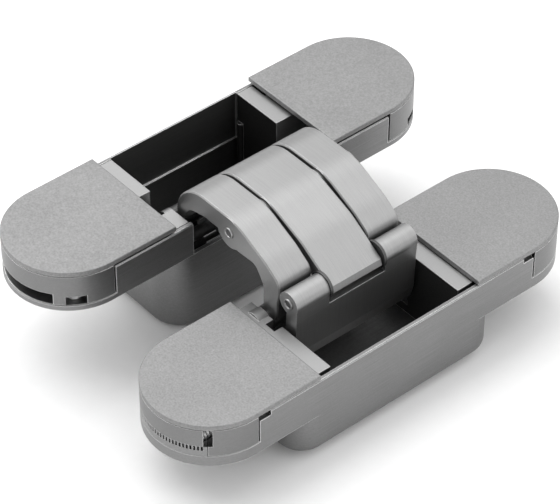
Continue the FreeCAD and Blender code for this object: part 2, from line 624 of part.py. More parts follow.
def screw(label, side, sign):
    """Adjusting screw: upright on the door side with a collar on the ledge, along the housing on the frame side."""
    body = new_body(label)
    if side == "door":
        ledge_top = SIDES[side]["ledge_top"]
        for radius, bottom, top in (("door_screw / 2", "-door_wing_height + 0.3", ledge_top),
                                    ("door_screw", ledge_top, "-block_drop - 0.9")):
            length = new_sketch(body, "XY_Plane", bottom)
            circle(length, "door_screw_inset", f"{sign}{DOOR_SCREW_Y}", radius)
            grow(body, length, f"({top}) - ({bottom})")
        drive = new_sketch(body, "XY_Plane", "-block_drop - 3")
        hexagon(drive, "door_screw_inset", f"{sign}{DOOR_SCREW_Y}", 1.0)
        cut(body, drive, "3", back=True)
    else:
        shank = new_sketch(body, "XZ_Plane", f"{'-' if not sign else ''}{SCREW_START}")
        circle(shank, "frame_screw_inset", "-frame_screw_drop", "frame_screw")
        pad = grow(body, shank, f"{SCREW_END} - {SCREW_START}")
        pad.Reversed = not sign
        doc.recompute()
        reach = number(SCREW_END)
        rims = edges(body, lambda e: is_circle(e, number("frame_screw")))
        outer = [name for name in rims if abs(abs(body.Shape.getElement(name).Curve.Center.y) - reach) < 0.1]
        dress(body, "Chamfer", outer, "0.4", "Size")
    stand(body, side)
    return body


def hexagon(sketch, x, y, radius):
    """A six-sided outline for a screw's socket."""
    corners = []
    for k in range(6):
        angle = math.radians(60 * k)
        corners.append((f"{x} + {radius * math.cos(angle)}", f"{y} + {radius * math.sin(angle)}"))
    polygon(sketch, corners)


def at(pin, x, z):
    """A point at an offset from a pin; a bare number counts in units of the outlines."""
    reach = [f"({v} * outline_unit)" if isinstance(v, (int, float)) else f"({v})" for v in (x, z)]
    return (f"({pin[0]} + {reach[0]})", f"({pin[1]} + {reach[1]})")


def plate_between(body, outline, width, shift="0", kind="Symmetric"):
    """Adds an upright outline as a plate across the hinge."""
    sketch = new_sketch(body, "XZ_Plane", shift)
    polygon(sketch, outline)
    return grow(body, sketch, width, kind=kind)


def eye_between(body, pin, radius, width, shift="0", kind="Symmetric"):
    """Adds a round eye across the hinge."""
    sketch = new_sketch(body, "XZ_Plane", shift)
    circle(sketch, pin[0], pin[1], radius)
    return grow(body, sketch, width, kind=kind)


def bevel(body):
    """Bevels all edges of an arm's plate that run along its outline."""
    names = edges(body, lambda e: max(v.Y for v in e.Vertexes) - min(v.Y for v in e.Vertexes) < 1e-6)
    return dress(body, "Chamfer", names, "arm_edge", "Size")


def centre_arm():
    """Centre arm: one curved casting with flats, from the door's fixed pin over to the frame link."""
    body = new_body("centre_arm")
    outline = [
        at(COMMON_PIN, -18.4, 4.05),
        at(COMMON_PIN, 1.4, 4.1),
        at(COMMON_PIN, 12.1, 0.0),
        at(CENTRE_END, 2.3, 0.6),
        at(CENTRE_END, 2.7, -1.1),
        at(CENTRE_END, 1.4, -2.5),
        at(CENTRE_END, -0.8, -2.6),
        at(CENTRE_END, -9.7, 3.0),
        at(COMMON_PIN, 3.8, -3.6),
        at(COMMON_PIN, 0.0, -3.6),
        at(COMMON_PIN, -2.9, -1.4),
        at(COMMON_PIN, -8.3, -1.3),
        at(COMMON_PIN, -12.6, -3.2),
        at(DOOR_PIN, "centre_eye - 0.2", 0.3),
        at(DOOR_PIN, 0, 0),
        at(DOOR_PIN, "-centre_eye + 0.2", 0),
        at(COMMON_PIN, -18.4, -6.0),
    ]
    plate_between(body, outline, "centre_width")
    dress(body, "Fillet", edges(body, crosswise_at([outline[0]])), "shoulder", "Radius")
    dress(body, "Fillet", edges(body, crosswise_at([outline[1], outline[2]])), "crease", "Radius")
    dress(body, "Fillet", edges(body, crosswise_at([outline[5], outline[6]])), "1.6", "Radius")
    dress(body, "Fillet", edges(body, crosswise_at([outline[12]])), "3", "Radius")
    bevel(body)
    for pin, radius in ((DOOR_PIN, "centre_eye"), (COMMON_PIN, "crossing_boss")):
        eye_between(body, pin, radius, "centre_width")
    cross_bore(body, DOOR_PIN, "fixed_pin + bore_fit")
    cross_bore(body, COMMON_PIN, "arm_pin + bore_fit")
    cross_bore(body, CENTRE_END, "link_pin + bore_fit")
    return body


def cheek(end):
    """One cheek of the outer arm: shoulder over the door side, leg down to the frame's fixed pin."""
    body = new_body("outer_arm_" + end)
    outline = [
        at(COMMON_PIN, -18.4, 4.05),
        at(COMMON_PIN, 2.0, 4.2),
        at(COMMON_PIN, 11.9, -0.4),
        at(COMMON_PIN, 16.6, -3.6),
        at(FRAME_PIN, 4.0, f"0.548 * {LEG}"),
        at(FRAME_PIN, 3.45, f"0.357 * {LEG}"),
        at(FRAME_PIN, 3.4, 2.6),
        at(FRAME_PIN, 2.6, -0.4),
        at(FRAME_PIN, 0, 0),
        at(FRAME_PIN, -1.4, 2.4),
        at(FRAME_PIN, -1.4, f"0.541 * {LEG}"),
        at(COMMON_PIN, 8.6, -3.3),
        at(COMMON_PIN, 3.5, -3.6),
        at(COMMON_PIN, 0.0, -3.6),
        at(COMMON_PIN, -2.5, -1.4),
        at(COMMON_PIN, -8.3, -1.3),
        at(COMMON_PIN, -13.4, -2.5),
        at(OUTER_END, "outer_eye - 0.3", 0.8),
        at(OUTER_END, 0, 0),
        at(OUTER_END, "-outer_eye + 0.3", 0.8),
        at(COMMON_PIN, -18.4, -5.9),
    ]
    near = end == "near"
    shift = CHEEK_START if near else "(-arms_width / 2)"
    width = f"(arms_width / 2 - {CHEEK_START})"
    plate_between(body, outline, width, shift=shift, kind="One side")
    dress(body, "Fillet", edges(body, crosswise_at([outline[0]])), "shoulder", "Radius")
    dress(body, "Fillet", edges(body, crosswise_at([outline[1], outline[2]])), "crease", "Radius")
    dress(body, "Fillet", edges(body, crosswise_at([outline[3]])), "3", "Radius")
    dress(body, "Fillet", edges(body, crosswise_at([outline[11], outline[16]])), "2", "Radius")
    bevel(body)
    for pin, radius in ((FRAME_PIN, "outer_eye"), (COMMON_PIN, "crossing_boss"), (OUTER_END, "outer_eye")):
        eye_between(body, pin, radius, width, shift=shift, kind="One side")
    fork = sorted((f"-{FORK_START}", f"-{FORK_END}") if near else (FORK_START, FORK_END), key=number)
    box_section(body, f"{OUTER_END[0]} - 8", f"{OUTER_END[0]} + 8", "0", f"{OUTER_END[1]} + link_eye + 0.5", *fork,
                add=False)
    cross_bore(body, FRAME_PIN, "fixed_pin + bore_fit")
    cross_bore(body, COMMON_PIN, "arm_pin")
    cross_bore(body, OUTER_END, "arm_pin")
    return body


def door_link():
    """Hidden rocker between carrier and outer arm: four eyes in the forks, joined by a low bar."""
    body = new_body("door_link")
    rim = "(link_pin + door_link_float + eye_rim)"
    width = f"({FORK_END} - {FORK_START} - 0.2)"
    for shift in (f"{FORK_START} + 0.1", f"-{FORK_END} + 0.1"):
        sides = [at(OUTER_END, -1.7, -0.6), at(OUTER_END, 1.5, 0.2),
                 at(DOOR_LINK_PIN, 1.5, 3.2), at(DOOR_LINK_PIN, -2.4, 2.6)]
        plate_between(body, sides, width, shift=shift, kind="One side")
        eye_between(body, OUTER_END, "link_eye", width, shift=shift, kind="One side")
        eye_between(body, DOOR_LINK_PIN, rim, width, shift=shift, kind="One side")
    bar = [at(DOOR_LINK_PIN, -1.6, f"-{rim} + 0.4"), at(DOOR_LINK_PIN, 1.6, f"-{rim} + 0.4"),
           at(DOOR_LINK_PIN, 1.6, f"-{rim} - 0.7"), at(DOOR_LINK_PIN, -1.6, f"-{rim} - 0.7")]
    plate_between(body, bar, f"2 * {FORK_END} - 0.2")
    cross_bore(body, OUTER_END, "arm_pin + bore_fit")
    cross_bore(body, DOOR_LINK_PIN, "link_pin + door_link_float")
    return body


def frame_link():
    """Rocker between the centre arm's end and the frame carrier: two knuckles on a plate."""
    body = new_body("frame_link")
    low = (f"({FRAME_LINK_PIN[0]} + frame_eye_shift)", f"({FRAME_LINK_PIN[1]} + frame_eye_rise)")
    rim = "(link_pin + frame_link_float + eye_rim)"
    plate = [
        at(CENTRE_END, -0.6, -3.4),
        at(CENTRE_END, 2.6, -3.4),
        at(low, 4.3, 0.7),
        at(low, 3.3, -2.8),
        at(low, 2.1, -2.8),
        at(low, 2.5, 0),
        at(low, 0.9, 3.6),
    ]
    plate_between(body, plate, "arms_width")
    neck = [at(low, 0.2, 5.5), at(low, 3.4, 5.5), at(low, 3.0, 0), at(low, 0, 0)]
    plate_between(body, neck, "centre_width")
    eye_between(body, low, rim, "centre_width")
    width = f"(arms_width / 2 - {CHEEK_START})"
    for shift in (CHEEK_START, "(-arms_width / 2)"):
        eye_between(body, CENTRE_END, "knuckle", width, shift=shift, kind="One side")
        root = [at(CENTRE_END, -0.6, 0), at(CENTRE_END, "knuckle - 0.1", 0),
                at(CENTRE_END, 2.6, -4), at(CENTRE_END, -0.6, -4)]
        plate_between(body, root, width, shift=shift, kind="One side")
    cross_bore(body, CENTRE_END, "link_pin")
    cross_bore(body, low, "link_pin + frame_link_float")
    return body


def round_pin(label, pin, radius, width):
    """A plain pin across the hinge with bevelled ends."""
    body = new_body(label)
    eye_between(body, pin, radius, width)
    ends = edges(body, lambda e: is_circle(e, number(radius)))
    dress(body, "Chamfer", ends, "0.2", "Size")
    return body


def outer_end_pins():
    """Two short pins that carry the door link in the cheeks' forks."""
    tubes = []
    for index, y in enumerate((f"{CHEEK_START} + 0.3", "-arms_width / 2 + 0.3")):
        tube = doc.addObject("Part::Cylinder", f"door_link_upper_pin_{index}")
        tube.setExpression("Radius", bound("arm_pin"))
        tube.setExpression("Height", bound(f"arms_width / 2 - {CHEEK_START} - 0.6"))
        tube.Placement = FreeCAD.Placement(FreeCAD.Vector(), FreeCAD.Rotation(FreeCAD.Vector(1, 0, 0), -90))
        for axis, text in zip("xyz", (OUTER_END[0], y, OUTER_END[1])):
            tube.setExpression(f"Placement.Base.{axis}", bound(text))
        tubes.append(tube)
    pair = doc.addObject("Part::Compound", "door_link_upper_pin")
    pair.Links = tubes
    pair.Label = "door_link_upper_pin"
    PIECES.append(pair)


def washers(label, pin, radius, bore):
    """Two thin rings on a pin, one each side of the centre arm."""
    body = doc.addObject("Part::Compound", label)
    rings = []
    for index, y in enumerate(("-(centre_width / 2 + washer)", "(centre_width / 2 + bore_fit)")):
        parts = []
        for part, size in (("rim", radius), ("bore", bore)):
            ring = doc.addObject("Part::Cylinder", f"{label}_{part}_{index}")
            ring.setExpression("Radius", bound(size))
            ring.setExpression("Height", bound("washer - bore_fit"))
            ring.Placement = FreeCAD.Placement(FreeCAD.Vector(), FreeCAD.Rotation(FreeCAD.Vector(1, 0, 0), -90))
            for axis, text in zip("xyz", (pin[0], y, pin[1])):
                ring.setExpression(f"Placement.Base.{axis}", bound(text))
            parts.append(ring)
        hollow = doc.addObject("Part::Cut", f"{label}_ring_{index}")
        hollow.Base, hollow.Tool = parts
        rings.append(hollow)
    body.Links = rings
    body.Label = label
    PIECES.append(body)
    return body


def main():
    """Builds every piece, tests it and writes it."""
    for side in SIDES:
        housing(side)
        carrier(side)
        for end in ("near", "far"):
            cap(side, end)
            block(side, end)
            screw(f"{side}_screw_{end}", side, "" if end_sign(side, end) > 0 else "-")
    for end in ("near", "far"):
        toothed_plate(end)
        cheek(end)
    centre_arm()
    door_link()
    frame_link()
    carried = f"({CARRIER} - 0.8)"
    round_pin("door_fixed_pin", DOOR_PIN, "fixed_pin", f"({CARRIER} - end_block)")
    round_pin("frame_fixed_pin", FRAME_PIN, "fixed_pin", carried)
    round_pin("door_link_lower_pin", DOOR_LINK_PIN, "link_pin", carried)
    round_pin("frame_link_lower_pin", FRAME_LINK_PIN, "link_pin", carried)
    round_pin("common_pin", COMMON_PIN, "arm_pin", "arms_width + 0.2")
    outer_end_pins()
    round_pin("frame_link_upper_pin", CENTRE_END, "link_pin", "arms_width + 0.2")
    washers("link_washers", CENTRE_END, "washer_radius", "link_pin")
    washers("crossing_washers", COMMON_PIN, "crossing_boss - 0.4", "arm_pin")
    doc.recompute()
    os.makedirs("parts", exist_ok=True)
    for piece in PIECES:
        inside = [piece] + list(getattr(piece, "Group", []))
        wrong = [o.Name for o in inside if {"Invalid", "Error"} & set(o.State)]
        shape = piece.Shape
        if wrong or not shape.isValid() or not shape.Solids:
            print("WRONG", piece.Label, wrong)
        box = [round(v, 2) for v in (shape.BoundBox.XMin, shape.BoundBox.XMax, shape.BoundBox.YMin,
                                     shape.BoundBox.YMax, shape.BoundBox.ZMin, shape.BoundBox.ZMax)]
        print(piece.Label, round(shape.Volume, 1), len(shape.Solids), shape.isValid(), box)
        shape.exportStep(f"parts/{piece.Label}.step")


main()
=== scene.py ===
"""Looks of a concealed door hinge, opened flat and lying on a pale floor.

The frame carries every main form. This script adds the finishes, the threads of the adjusting
screws, the rims on the pin ends, the floor, the lights and the camera.

Lengths in the dataclasses are in millimetres; the frame and the scene are in metres. X runs from
the door side to the frame side, Y along both housings from the near wings to the far wings, Z up.
"""
import logging
import math
from dataclasses import dataclass
from enum import Enum

import bpy
import numpy as np
from mathutils import Matrix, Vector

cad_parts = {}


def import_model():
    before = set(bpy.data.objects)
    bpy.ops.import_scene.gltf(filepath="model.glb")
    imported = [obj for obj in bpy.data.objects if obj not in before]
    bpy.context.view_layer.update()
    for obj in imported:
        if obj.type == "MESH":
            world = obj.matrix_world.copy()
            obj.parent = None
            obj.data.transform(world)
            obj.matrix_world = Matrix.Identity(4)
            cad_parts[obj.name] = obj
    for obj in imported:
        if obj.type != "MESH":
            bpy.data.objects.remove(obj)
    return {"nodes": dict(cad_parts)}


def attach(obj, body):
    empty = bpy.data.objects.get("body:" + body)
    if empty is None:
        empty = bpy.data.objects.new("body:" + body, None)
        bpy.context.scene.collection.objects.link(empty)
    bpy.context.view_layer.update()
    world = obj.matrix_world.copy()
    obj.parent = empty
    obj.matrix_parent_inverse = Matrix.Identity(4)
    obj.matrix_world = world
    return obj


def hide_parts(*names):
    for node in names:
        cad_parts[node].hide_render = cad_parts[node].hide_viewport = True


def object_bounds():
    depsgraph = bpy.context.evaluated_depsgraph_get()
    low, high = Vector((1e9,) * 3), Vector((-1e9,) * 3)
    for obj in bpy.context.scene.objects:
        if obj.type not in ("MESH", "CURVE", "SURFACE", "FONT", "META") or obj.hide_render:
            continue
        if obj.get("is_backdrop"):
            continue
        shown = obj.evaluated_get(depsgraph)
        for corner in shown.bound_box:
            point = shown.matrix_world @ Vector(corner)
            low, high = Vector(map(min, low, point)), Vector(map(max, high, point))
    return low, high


LOG = logging.getLogger("hinge")
MM = 0.001
# Edges that bend by more degrees than this stay sharp on new pieces.
SHARP_ANGLE = 30.0
# Soft patches from handling lie over every finish: their size in mm and their share of the pattern.
CLOUD_SIZE = 17.0
CLOUD_SHARE = 0.25
# How far the pattern's values reach to both sides of their middle, for the tone and for the gloss.
TONE_REACH = 0.32
GLOSS_REACH = 0.35
# How much of their finer layers the streaks and the grain keep.
STREAK_FINENESS = 0.62
GRAIN_FINENESS = 0.55
# The painted edge highlight starts at the first cosine between the true and the rounded normal, and
# is full at the second.
EDGE_HIGHLIGHT_FROM = 0.995
EDGE_HIGHLIGHT_TO = 0.86
EDGE_SAMPLES = 4
# Numbers of the Mix node's sockets for colours, which share their names with those for values.
MIX_FACTOR = 0
MIX_FIRST = 6
MIX_SECOND = 7
MIX_RESULT = 2


class Side(Enum):
    """The two bodies of the hinge."""

    DOOR = "door"
    FRAME = "frame"


class End(Enum):
    """The two round wings of a body."""

    NEAR = "near"
    FAR = "far"


class Streak(Enum):
    """How the marks of a finish run, as their length along X, Y and Z in mm.

    Real brush lines are a few hundredths of a millimetre wide, too fine to show here, so they are
    drawn several times as coarse.
    """

    ALONG_HOUSING = (0.35, 14.0, 0.22)
    ROUND_THE_ARMS = (9.0, 0.16, 9.0)
    ALONG_PINS = (2.0, 0.5, 2.0)
    NONE = (1.2, 1.2, 1.2)


def linear(code: str) -> tuple[float, float, float, float]:
    """Turns an sRGB hex colour into linear values.

    Args:
        code: six hex digits with a leading mark.

    Returns:
        Red, green, blue and an alpha of one.
    """
    parts = [int(code[i:i + 2], 16) / 255 for i in (1, 3, 5)]
    shades = [c / 12.92 if c <= 0.04045 else ((c + 0.055) / 1.055) ** 2.4 for c in parts]
    return (shades[0], shades[1], shades[2], 1.0)


def empty_tree(holder: bpy.types.Material | bpy.types.World) -> bpy.types.NodeTree:
    """Turns on the nodes of a material or a world and takes out those that it starts with.

    Args:
        holder: the material or world.

    Returns:
        Its empty node tree.
    """
    holder.use_nodes = True
    holder.node_tree.nodes.clear()
    return holder.node_tree


def add_node(tree: bpy.types.NodeTree, kind: str, inputs: dict[str | int, object] | None = None,
             **settings: object) -> bpy.types.Node:
    """Adds a node with its settings, values and links.

    Args:
        tree: the node tree.
        kind: the node's type without the common prefix.
        inputs: by input name or index, a value or the output socket to link.
        settings: properties of the node.

    Returns:
        The new node.
    """
    node = tree.nodes.new("ShaderNode" + kind)
    for key, value in settings.items():
        setattr(node, key, value)
    for key, value in (inputs or {}).items():
        if isinstance(value, bpy.types.NodeSocket):
            tree.links.new(value, node.inputs[key])
        else:
            node.inputs[key].default_value = value
    return node


@dataclass(frozen=True)
class UnshadedFaces:
    """Faces of a trough left out of its painted shade: its tops, and the flanks of its two end
    blocks.

    The tops lie above a height. The flanks lie nearer the middle than within_x across the hinge
    and farther from it than beyond_y along the housing, just past the end walls of the bays.
    """

    above: float
    tone: str = "#9c9c9c"
    within_x: float = 24.2
    beyond_y: float = 18.4

    def mask(self, tree: bpy.types.NodeTree, place: bpy.types.NodeSocket) -> bpy.types.NodeSocket:
        """Marks the faces outside the painted shade.

        Args:
            tree: the node tree.
            place: the point on the object.

        Returns:
            One on these faces, zero elsewhere.
        """
        spot = add_node(tree, "SeparateXYZ", {0: place})
        top = add_node(tree, "Math", {0: spot.outputs["Z"], 1: self.above * MM},
                       operation="GREATER_THAN")
        across = add_node(tree, "Math", {0: spot.outputs["X"]}, operation="ABSOLUTE")
        along = add_node(tree, "Math", {0: spot.outputs["Y"]}, operation="ABSOLUTE")
        inward = add_node(tree, "Math", {0: across.outputs[0], 1: self.within_x * MM},
                          operation="LESS_THAN")
        outward = add_node(tree, "Math", {0: along.outputs[0], 1: self.beyond_y * MM},
                           operation="GREATER_THAN")
        flank = add_node(tree, "Math", {0: inward.outputs[0], 1: outward.outputs[0]},
                         operation="MULTIPLY")
        return add_node(tree, "Math", {0: top.outputs[0], 1: flank.outputs[0]},
                        operation="MAXIMUM").outputs[0]


@dataclass(frozen=True)
class Finish:
    """A metal finish: two tones, marks that run one way, a fine grain and a highlight painted along
    the edges.

    The pattern runs from shade to base, and its roughness from rough to smooth. The grain's size,
    the depth of the relief and the reach of the painted edge highlight are in mm.
    """

    name: str
    base: str
    shade: str
    # Colour of the highlight painted along the edges.
    edge: str
    smooth: float
    rough: float
    streak: Streak
    streak_share: float
    grain: float
    grain_share: float
    bump: float = 0.002
    edge_radius: float = 0.14
    metallic: float = 1.0
    ground: UnshadedFaces | None = None

    def pattern(self, tree: bpy.types.NodeTree, place: bpy.types.NodeSocket
                ) -> tuple[bpy.types.NodeSocket, bpy.types.NodeSocket]:
        """Adds up the streaks, the grain and the soft patches, each times its share.

        Args:
            tree: the node tree.
            place: the point on the object.

        Returns:
            Streaks and grain alone, for the relief, and all three, for the tone and the gloss.
        """
        run = [1.0 / (length * MM) for length in self.streak.value]
        stretched = add_node(tree, "Mapping", {"Vector": place, "Scale": run})
        marks = add_node(tree, "TexNoise", {"Vector": stretched.outputs[0], "Scale": 1.0,
                                            "Detail": 3.0, "Roughness": STREAK_FINENESS})
        grain = add_node(tree, "TexNoise", {"Vector": place, "Scale": 1.0 / (self.grain * MM),
                                            "Detail": 2.0, "Roughness": GRAIN_FINENESS})
        cloud = add_node(tree, "TexNoise", {"Vector": place, "Scale": 1.0 / (CLOUD_SIZE * MM),
                                            "Detail": 2.0})
        marks_part = add_node(tree, "Math", {0: marks.outputs["Fac"], 1: self.streak_share},
                              operation="MULTIPLY")
        fine = add_node(tree, "Math", {0: grain.outputs["Fac"], 1: self.grain_share,
                                       2: marks_part.outputs[0]}, operation="MULTIPLY_ADD")
        total = add_node(tree, "Math", {0: cloud.outputs["Fac"], 1: CLOUD_SHARE,
                                        2: fine.outputs[0]}, operation="MULTIPLY_ADD")
        return fine.outputs[0], total.outputs[0]

    def material(self) -> bpy.types.Material:
        """Builds the node tree of the finish.

        Returns:
            The new material.
        """
        made = bpy.data.materials.new(self.name)
        tree = empty_tree(made)
        place = add_node(tree, "TexCoord").outputs["Object"]
        fine, total = self.pattern(tree, place)
        middle = 0.5 * (self.streak_share + self.grain_share + CLOUD_SHARE)
        spread = add_node(tree, "MapRange", {"Value": total, "From Min": middle - TONE_REACH,
                                             "From Max": middle + TONE_REACH})
        tone = add_node(tree, "Mix", {MIX_FACTOR: spread.outputs[0],
                                      MIX_FIRST: linear(self.shade),
                                      MIX_SECOND: linear(self.base)}, data_type="RGBA")
        # A trough's painted shade stays off its tops and flanks, which take the lighter tone.
        if self.ground:
            tone = add_node(tree, "Mix", {MIX_FACTOR: self.ground.mask(tree, place),
                                          MIX_FIRST: tone.outputs[MIX_RESULT],
                                          MIX_SECOND: linear(self.ground.tone)},
                            data_type="RGBA")
        rounded = add_node(tree, "Bevel", {"Radius": self.edge_radius * MM}, samples=EDGE_SAMPLES)
        true_normal = add_node(tree, "NewGeometry").outputs["Normal"]
        turned = add_node(tree, "VectorMath", {0: rounded.outputs[0], 1: true_normal},
                          operation="DOT_PRODUCT")
        # Painted highlight: the edge colour is mixed in where the rounded normal turns from the
        # true one.
        edge_highlight_mask = add_node(tree, "MapRange", {"Value": turned.outputs["Value"],
                                           "From Min": EDGE_HIGHLIGHT_FROM, "From Max": EDGE_HIGHLIGHT_TO})
        colour = add_node(tree, "Mix", {MIX_FACTOR: edge_highlight_mask.outputs[0],
                                        MIX_FIRST: tone.outputs[MIX_RESULT],
                                        MIX_SECOND: linear(self.edge)}, data_type="RGBA")
        gloss = add_node(tree, "MapRange", {"Value": total, "From Min": middle - GLOSS_REACH,
                                            "From Max": middle + GLOSS_REACH,
                                            "To Min": self.rough, "To Max": self.smooth})
        relief = add_node(tree, "Bump", {"Strength": 1.0, "Distance": self.bump * MM,
                                         "Height": fine, "Normal": rounded.outputs[0]})
        shader = add_node(tree, "BsdfPrincipled", {"Base Color": colour.outputs[MIX_RESULT],
                                                   "Metallic": self.metallic,
                                                   "Roughness": gloss.outputs[0],
                                                   "Normal": relief.outputs[0]})
        add_node(tree, "OutputMaterial", {"Surface": shader.outputs[0]})
        return made


FINISHES = {
    # Cast walls with long faint streaks from polishing, so the tall sides don't look printed flat.
    "housing": Finish(
        "satin_nickel_zinc_casting", base="#919191", shade="#777777", edge="#ededed",
        smooth=0.36, rough=0.48, streak=Streak.ALONG_HOUSING, streak_share=0.6,
        grain=0.3, grain_share=0.35, bump=0.003, edge_radius=0.3),
    # Smoother than the castings: the flush blocks read as even grey bands under the caps.
    "block": Finish(
        "satin_nickel_block", base="#868686", shade="#707070", edge="#e6e6e6",
        smooth=0.36, rough=0.46, streak=Streak.ALONG_HOUSING, streak_share=0.4,
        grain=0.3, grain_share=0.35, bump=0.003, edge_radius=0.22),
    # Blasted matt with a fine speckle and a lighter rim painted on the edge as a highlight. The
    # real dimples are about 0.15 mm wide, and they are drawn at 0.42 mm so that they show.
    "cap": Finish(
        "shot_blasted_cap", base="#9d9d9d", shade="#868686", edge="#d4d4d4",
        smooth=0.55, rough=0.68, streak=Streak.NONE, streak_share=0.3,
        grain=0.42, grain_share=0.9, bump=0.012),
    # Lighter than the bodies and satin, with soft brush lines round the bends.
    "arm": Finish(
        "brushed_satin_arm", base="#a6a6a6", shade="#929292", edge="#d2d2d2",
        smooth=0.38, rough=0.5, streak=Streak.ROUND_THE_ARMS, streak_share=0.6,
        grain=0.25, grain_share=0.2),
    # Pin steel from the grinder, painted darker than the arms as shade, so the pins stay quiet in
    # the gaps.
    "pin": Finish(
        "ground_pin_steel_with_painted_shade", base="#7c7c7c", shade="#616161", edge="#a9a9a9",
        smooth=0.34, rough=0.46, streak=Streak.ALONG_PINS, streak_share=0.6,
        grain=0.3, grain_share=0.3, edge_radius=0.08),
    # Rolled pin-end rims, painted bright as a highlight to draw a fine circle on the arms' flanks.
    "rim": Finish(
        "rolled_pin_rim_painted_highlight", base="#c2c2c2", shade="#a0a0a0", edge="#e0e0e0",
        smooth=0.26, rough=0.36, streak=Streak.NONE, streak_share=0.3,
        grain=0.3, grain_share=0.3, edge_radius=0.04),
    # The door link and the washers lie deep between the arms and the bays; their dark tone is
    # painted shade.
    "link": Finish(
        "link_steel_painted_shade", base="#676767", shade="#515151", edge="#8d8d8d",
        smooth=0.42, rough=0.54, streak=Streak.ROUND_THE_ARMS, streak_share=0.5,
        grain=0.3, grain_share=0.3),
    # Bright plating, with its colour raised as a painted glint out of the wings' openings.
    "screw": Finish(
        "bright_zinc_screw_and_painted_glint", base="#e4e4e4", shade="#c4c4c4", edge="#f4f4f4", metallic=0.7,
        smooth=0.3, rough=0.45, streak=Streak.NONE, streak_share=0.4,
        grain=0.3, grain_share=0.3, edge_radius=0.06),
    # Troughs painted dark inside as the bays' shade; their tops and outer flanks are lighter.
    "door_carrier": Finish(
        "door_trough_painted_shade", base="#585858", shade="#424242", edge="#c8c8c8",
        smooth=0.4, rough=0.54, streak=Streak.ALONG_HOUSING, streak_share=0.4,
        grain=0.4, grain_share=0.5, bump=0.005, edge_radius=0.24, ground=UnshadedFaces(above=30.7)),
    "frame_carrier": Finish(
        "frame_trough_painted_shade", base="#757575", shade="#5c5c5c", edge="#d8d8d8",
        smooth=0.4, rough=0.54, streak=Streak.ALONG_HOUSING, streak_share=0.4,
        grain=0.4, grain_share=0.5, bump=0.005, edge_radius=0.24, ground=UnshadedFaces(above=22.2)),
    # Bright comb against the dark gap below the block.
    "teeth": Finish(
        "bright_toothed_steel", base="#929292", shade="#777777", edge="#f0f0f0",
        smooth=0.3, rough=0.42, streak=Streak.NONE, streak_share=0.4,
        grain=0.3, grain_share=0.3, edge_radius=0.06),
}


def round_steps(count: int) -> np.ndarray:
    """Even steps round a full turn, from zero.

    Args:
        count: number of steps.

    Returns:
        Angles in radians, shape (count,).
    """
    return np.arange(count) / count * 2 * np.pi


def rod_ring(radius: float | np.ndarray, angle: np.ndarray,
             height: float | np.ndarray) -> np.ndarray:
    """Points round the Z axis: the radius times the cosine and sine of the angle, and the height.

    Args:
        radius: distance from the axis.
        angle: angles round it.
        height: place along it.

    Returns:
        Points along the last axis.
    """
    return np.stack([radius * np.cos(angle), radius * np.sin(angle), height + 0 * angle], -1)


def grid_triangles(rows: int, columns: int, closed: bool) -> np.ndarray:
    """Cuts each cell of a grid in two triangles; the end of each row joins its start.

    Args:
        rows: number of rows, one for each ring.
        columns: points in a row.
        closed: whether the last row joins the first.

    Returns:
        Numbers of the corners, counted row by row, shape (m, 3).
    """
    row, column = np.meshgrid(np.arange(rows if closed else rows - 1), np.arange(columns),
                              indexing="ij")
    next_row, next_column = (row + 1) % rows, (column + 1) % columns
    a, b = row * columns + column, row * columns + next_column
    c, d = next_row * columns + next_column, next_row * columns + column
    return np.concatenate([np.stack([a, b, c], -1).reshape(-1, 3),
                           np.stack([a, c, d], -1).reshape(-1, 3)])


def facing_out(points: np.ndarray, faces: np.ndarray) -> np.ndarray:
    """Turns the triangles of a closed skin outwards where they enclose a negative volume.

    Six times the volume is the sum over the triangles of the first corner dotted with the cross
    product of the other two.

    Args:
        points: vertices, shape (n, 3).
        faces: triangles, shape (m, 3).

    Returns:
        The triangles, facing outwards.
    """
    corners = points[faces]
    crossed = np.cross(corners[:, 1], corners[:, 2])
    volume = np.einsum("ij,ij->i", corners[:, 0], crossed).sum()
    return faces[:, ::-1] if volume < 0 else faces


def loft(rings: np.ndarray) -> tuple[np.ndarray, np.ndarray]:
    """Joins closed rings into a skin and closes both ends at a point.

    The skin is a grid of two parameters, the ring's number and the place round it; each end point
    is the mean of its ring.

    Args:
        rings: array of shape (rings, points, 3).

    Returns:
        Vertices and triangles, facing outwards.
    """
    count, around, _ = rings.shape
    points = np.concatenate([rings.reshape(-1, 3), [rings[0].mean(0), rings[-1].mean(0)]])
    first_point, last_point = count * around, count * around + 1
    last_ring = (count - 1) * around
    place = np.arange(around)
    turn = (place + 1) % around
    first = np.stack([np.full(around, first_point), turn, place], 1)
    last = np.stack([np.full(around, last_point), last_ring + place, last_ring + turn], 1)
    faces = np.concatenate([grid_triangles(count, around, closed=False), first, last])
    return points, facing_out(points, faces)


def mesh_piece(name: str, points: np.ndarray, faces: np.ndarray,
               material: bpy.types.Material) -> bpy.types.Object:
    """Makes an object from vertices in mm and faces.

    Args:
        name: name of the object.
        points: vertices in mm, shape (n, 3).
        faces: triangles or quads, shape (m, 3) or (m, 4).
        material: its finish.

    Returns:
        The object, at the origin.
    """
    mesh = bpy.data.meshes.new(name)
    mesh.from_pydata((points * MM).tolist(), [], faces.tolist())
    mesh.materials.append(material)
    mesh.shade_smooth()
    mesh.set_sharp_from_angle(angle=math.radians(SHARP_ANGLE))
    mesh.update()
    piece = bpy.data.objects.new(name, mesh)
    bpy.context.scene.collection.objects.link(piece)
    return piece


def stand(name: str, data: bpy.types.Light | bpy.types.Camera, axes: tuple[np.ndarray, ...],
          place: tuple[float, float, float]) -> bpy.types.Object:
    """Puts a light or a camera in the scene.

    Args:
        name: name of the object.
        data: the light or the camera.
        axes: its own X, Y and Z directions.
        place: its place in mm.

    Returns:
        The object.
    """
    piece = bpy.data.objects.new(name, data)
    turn = Matrix(axes).transposed().to_4x4()
    piece.matrix_world = Matrix.Translation(np.array(place) * MM) @ turn
    bpy.context.scene.collection.objects.link(piece)
    return piece


